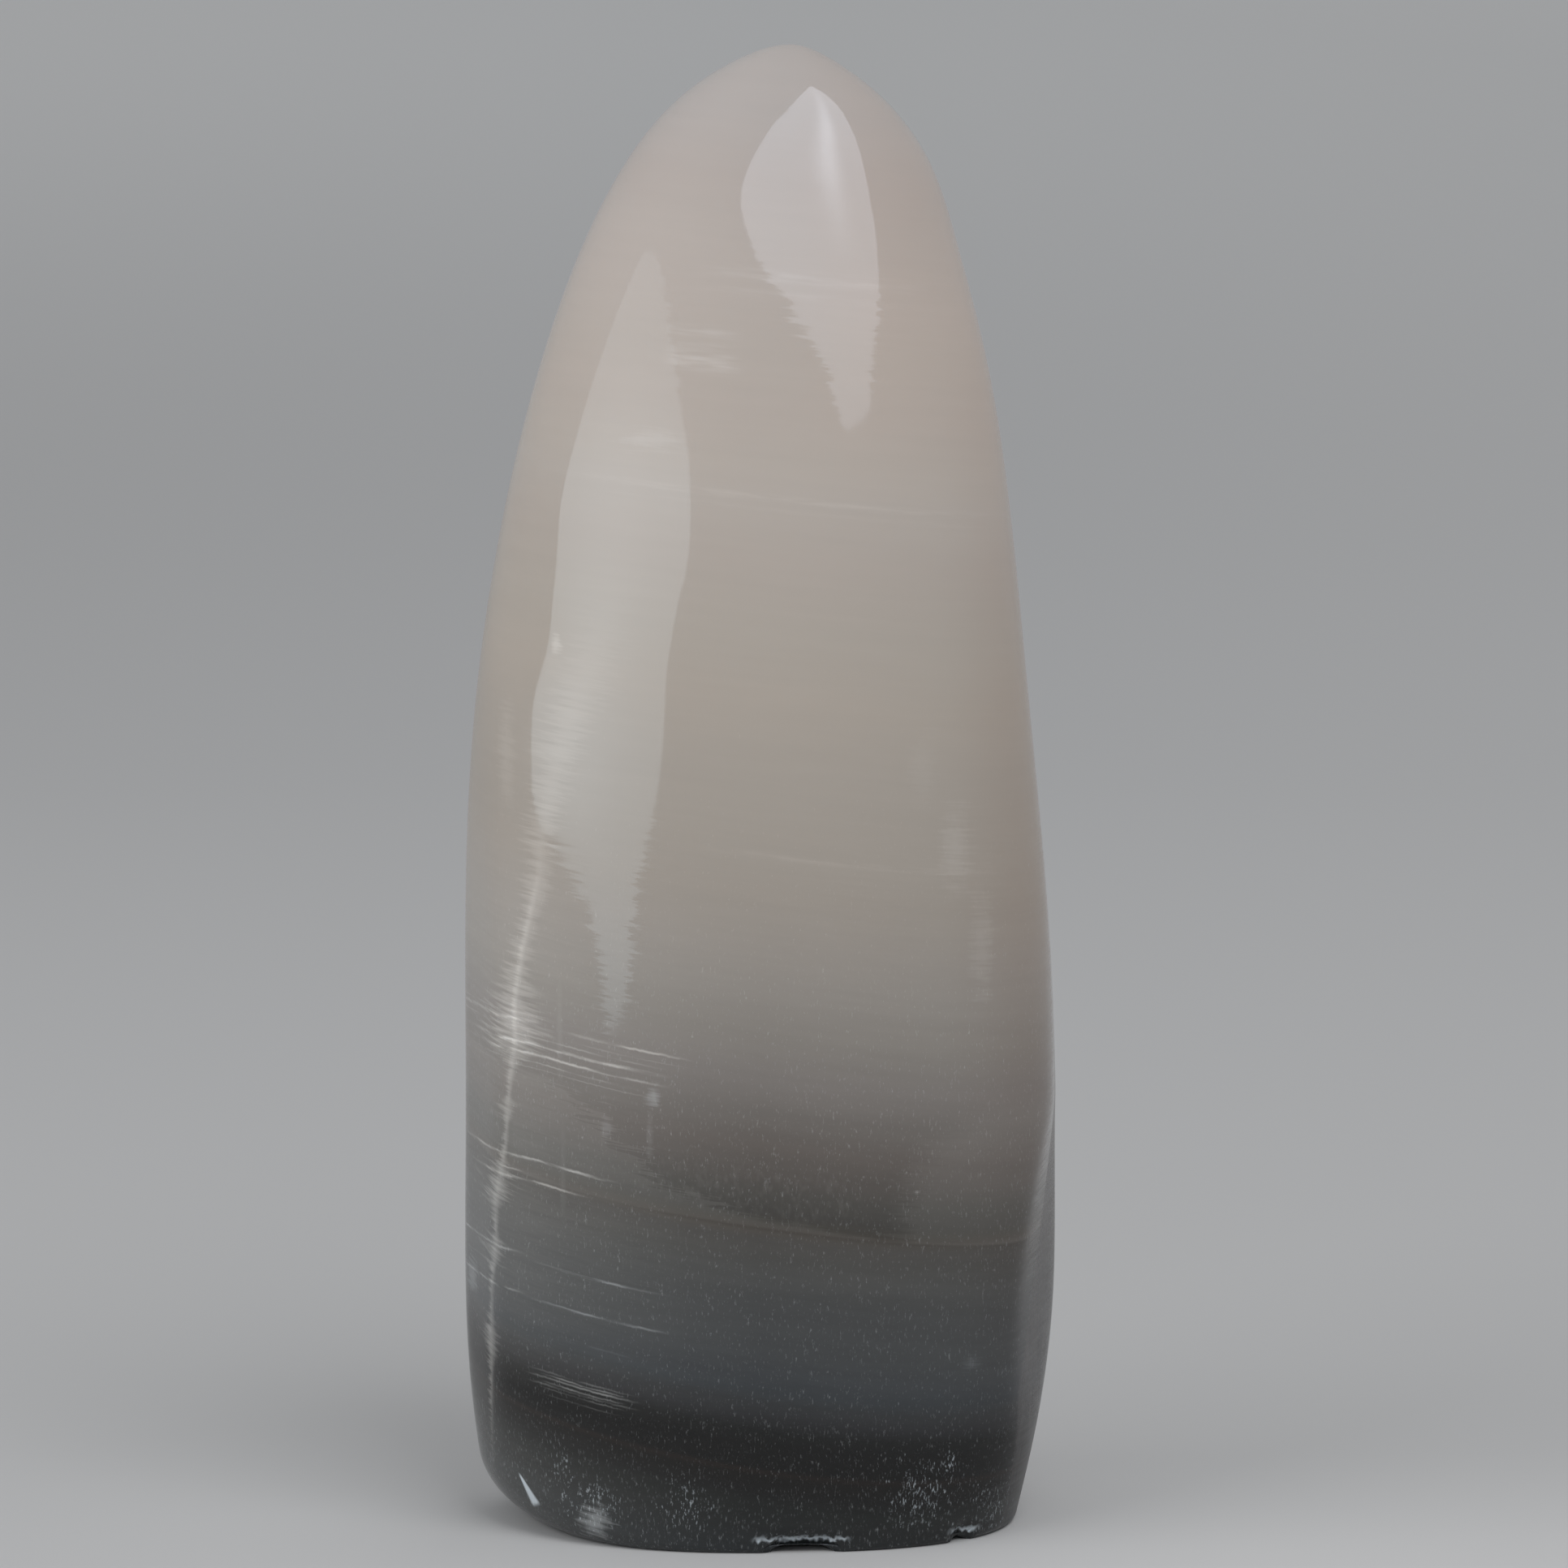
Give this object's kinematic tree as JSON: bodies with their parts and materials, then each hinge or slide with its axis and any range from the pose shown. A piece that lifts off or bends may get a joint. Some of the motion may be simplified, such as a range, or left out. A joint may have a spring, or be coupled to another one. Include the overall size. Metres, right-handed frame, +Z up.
{
  "type": "polished calcite freeform",
  "caption": "Upright freeform of polished banded calcite: a milky pinkish dome shading down to a dark banded foot, flat underneath so that it stands by itself.",
  "frame": {"origin": "on the surface the stone stands on, under the middle of its bounding box", "axes": "+Z up along the stone's height; +X to the right of the shown face, which looks towards -Y"},
  "size_m": [0.0446, 0.029, 0.11],
  "materials": {
    "polished_calcite": "polished, milky; pinkish beige above, slate grey and black bands at the foot"
  },
  "bodies": {
    "root": {"calcite_stone": "polished_calcite"}
  },
  "joints": []
}
